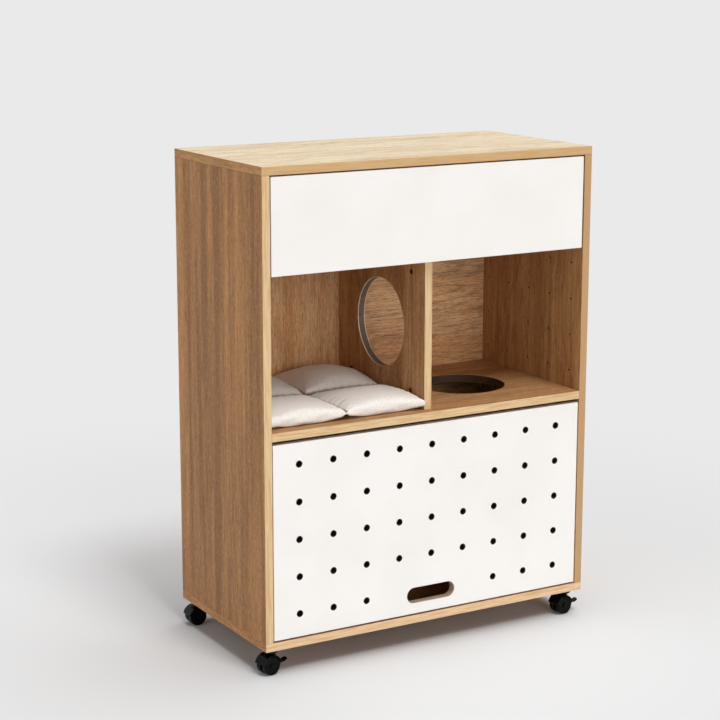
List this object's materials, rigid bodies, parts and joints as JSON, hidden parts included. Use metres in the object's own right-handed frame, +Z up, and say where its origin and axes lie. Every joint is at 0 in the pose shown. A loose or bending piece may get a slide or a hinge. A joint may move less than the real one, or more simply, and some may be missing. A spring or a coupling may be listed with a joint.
{
  "type": "litter box enclosure",
  "caption": "Board cabinet on casters that hides a litter box behind a perforated flip-up door, with two linked bays, a cushion and a drawer above.",
  "frame": {"origin": "on the floor, under the middle of the cabinet", "axes": "+X to the right seen from the front, +Y to the back, +Z up; the front faces -Y"},
  "size_m": [0.8179, 0.4, 1.056],
  "materials": {
    "oak_board": "oak-effect melamine on particle board",
    "drawer_board": "pale board",
    "white_front": "satin white lacquer on fibreboard",
    "beech": "turned beech",
    "zinc_steel": "zinc plated",
    "black_steel": "black",
    "black_nylon": "glossy black",
    "grey_nylon": "moulded",
    "cushion_fabric": "off-white woven cotton"
  },
  "bodies": {
    "cabinet": {"top_panel": "oak_board", "bottom_panel": "oak_board", "left_side_panel": "oak_board", "right_side_panel": "oak_board", "middle_shelf": "oak_board", "divider_panel": "oak_board", "drawer_deck": "oak_board", "back_panel_lower": "oak_board", "back_panel_left": "oak_board", "back_panel_right": "oak_board", "back_panel_upper": "oak_board", "cam_locks": "zinc_steel", "cam_bolts": "zinc_steel", "dowels": "beech", "base_screws": "zinc_steel", "back_screws": "zinc_steel", "door_pivot_bushes": "grey_nylon", "magnet_catches": "grey_nylon", "runner_rail_left": "zinc_steel", "runner_rail_right": "zinc_steel", "runner_screws": "zinc_steel", "cushion": "cushion_fabric", "caster_kingpins": "zinc_steel", "caster_screws": "zinc_steel", "caster_plate_front_left": "black_steel", "caster_plate_front_right": "black_steel", "caster_plate_rear_left": "black_steel", "caster_plate_rear_right": "black_steel"},
    "lower_door": {"lower_door": "white_front", "door_pivot_pins": "zinc_steel", "catch_strikes": "zinc_steel"},
    "drawer": {"drawer_front": "white_front", "drawer_side_left": "drawer_board", "drawer_side_right": "drawer_board", "drawer_back": "drawer_board", "drawer_bottom": "drawer_board", "drawer_front_screws": "zinc_steel", "runner_slide_left": "zinc_steel", "runner_slide_right": "zinc_steel"},
    "runner_stages": {"runner_stage_left": "zinc_steel", "runner_stage_right": "zinc_steel"},
    "swivel_front_left": {"caster_hood_front_left": "black_nylon", "caster_axle_front_left": "zinc_steel"},
    "wheel_left_front_left": {"caster_wheel_left_front_left": "black_nylon"},
    "wheel_right_front_left": {"caster_wheel_right_front_left": "black_nylon"},
    "brake_front_left": {"brake_lever_front_left": "black_nylon"},
    "swivel_front_right": {"caster_hood_front_right": "black_nylon", "caster_axle_front_right": "zinc_steel"},
    "wheel_left_front_right": {"caster_wheel_left_front_right": "black_nylon"},
    "wheel_right_front_right": {"caster_wheel_right_front_right": "black_nylon"},
    "brake_front_right": {"brake_lever_front_right": "black_nylon"},
    "swivel_rear_left": {"caster_hood_rear_left": "black_nylon", "caster_axle_rear_left": "zinc_steel"},
    "wheel_left_rear_left": {"caster_wheel_left_rear_left": "black_nylon"},
    "wheel_right_rear_left": {"caster_wheel_right_rear_left": "black_nylon"},
    "swivel_rear_right": {"caster_hood_rear_right": "black_nylon", "caster_axle_rear_right": "zinc_steel"},
    "wheel_left_rear_right": {"caster_wheel_left_rear_right": "black_nylon"},
    "wheel_right_rear_right": {"caster_wheel_right_rear_right": "black_nylon"}
  },
  "joints": [
    {"name": "drawer_slide", "type": "slide", "parent": "cabinet", "child": "drawer", "axis": [0, -1, 0], "range_m": [0, 0.33]},
    {"name": "runner_stage_slide", "type": "slide", "parent": "cabinet", "child": "runner_stages", "axis": [0, -1, 0], "range_m": [0, 0.165]},
    {"name": "door_flip", "type": "hinge", "parent": "cabinet", "child": "lower_door", "pos_m": [0, -0.19, 0.484], "axis": [-1, 0, 0], "range_deg": [0, 95]},
    {"name": "swivel_front_left", "type": "hinge", "parent": "cabinet", "child": "swivel_front_left", "pos_m": [-0.373, -0.173, 0.045], "axis": [0, 0, 1], "continuous": true},
    {"name": "roll_left_front_left", "type": "hinge", "parent": "swivel_front_left", "child": "wheel_left_front_left", "pos_m": [-0.38186, -0.17456, 0.02], "axis": [0.1736, -0.9848, 0], "continuous": true},
    {"name": "roll_right_front_left", "type": "hinge", "parent": "swivel_front_left", "child": "wheel_right_front_left", "pos_m": [-0.38186, -0.17456, 0.02], "axis": [0.1736, -0.9848, 0], "continuous": true},
    {"name": "brake_front_left", "type": "hinge", "parent": "swivel_front_left", "child": "brake_front_left", "pos_m": [-0.36906, -0.17231, 0.024], "axis": [-0.1736, 0.9848, 0], "range_deg": [0, 8]},
    {"name": "swivel_front_right", "type": "hinge", "parent": "cabinet", "child": "swivel_front_right", "pos_m": [0.373, -0.173, 0.045], "axis": [0, 0, 1], "continuous": true},
    {"name": "roll_left_front_right", "type": "hinge", "parent": "swivel_front_right", "child": "wheel_left_front_right", "pos_m": [0.36403, -0.17378, 0.02], "axis": [0.0872, -0.9962, 0], "continuous": true},
    {"name": "roll_right_front_right", "type": "hinge", "parent": "swivel_front_right", "child": "wheel_right_front_right", "pos_m": [0.36403, -0.17378, 0.02], "axis": [0.0872, -0.9962, 0], "continuous": true},
    {"name": "brake_front_right", "type": "hinge", "parent": "swivel_front_right", "child": "brake_front_right", "pos_m": [0.37699, -0.17265, 0.024], "axis": [-0.0872, 0.9962, 0], "range_deg": [0, 8]},
    {"name": "swivel_rear_left", "type": "hinge", "parent": "cabinet", "child": "swivel_rear_left", "pos_m": [-0.373, 0.173, 0.045], "axis": [0, 0, 1], "continuous": true},
    {"name": "roll_left_rear_left", "type": "hinge", "parent": "swivel_rear_left", "child": "wheel_left_rear_left", "pos_m": [-0.382, 0.173, 0.02], "axis": [0, -1, 0], "continuous": true},
    {"name": "roll_right_rear_left", "type": "hinge", "parent": "swivel_rear_left", "child": "wheel_right_rear_left", "pos_m": [-0.382, 0.173, 0.02], "axis": [0, -1, 0], "continuous": true},
    {"name": "swivel_rear_right", "type": "hinge", "parent": "cabinet", "child": "swivel_rear_right", "pos_m": [0.373, 0.173, 0.045], "axis": [0, 0, 1], "continuous": true},
    {"name": "roll_left_rear_right", "type": "hinge", "parent": "swivel_rear_right", "child": "wheel_left_rear_right", "pos_m": [0.38169, 0.17533, 0.02], "axis": [-0.2588, 0.9659, 0], "continuous": true},
    {"name": "roll_right_rear_right", "type": "hinge", "parent": "swivel_rear_right", "child": "wheel_right_rear_right", "pos_m": [0.38169, 0.17533, 0.02], "axis": [-0.2588, 0.9659, 0], "continuous": true}
  ],
  "couplings": [
    {"joint": "runner_stage_slide", "follows": "drawer_slide", "ratio": 0.5}
  ]
}
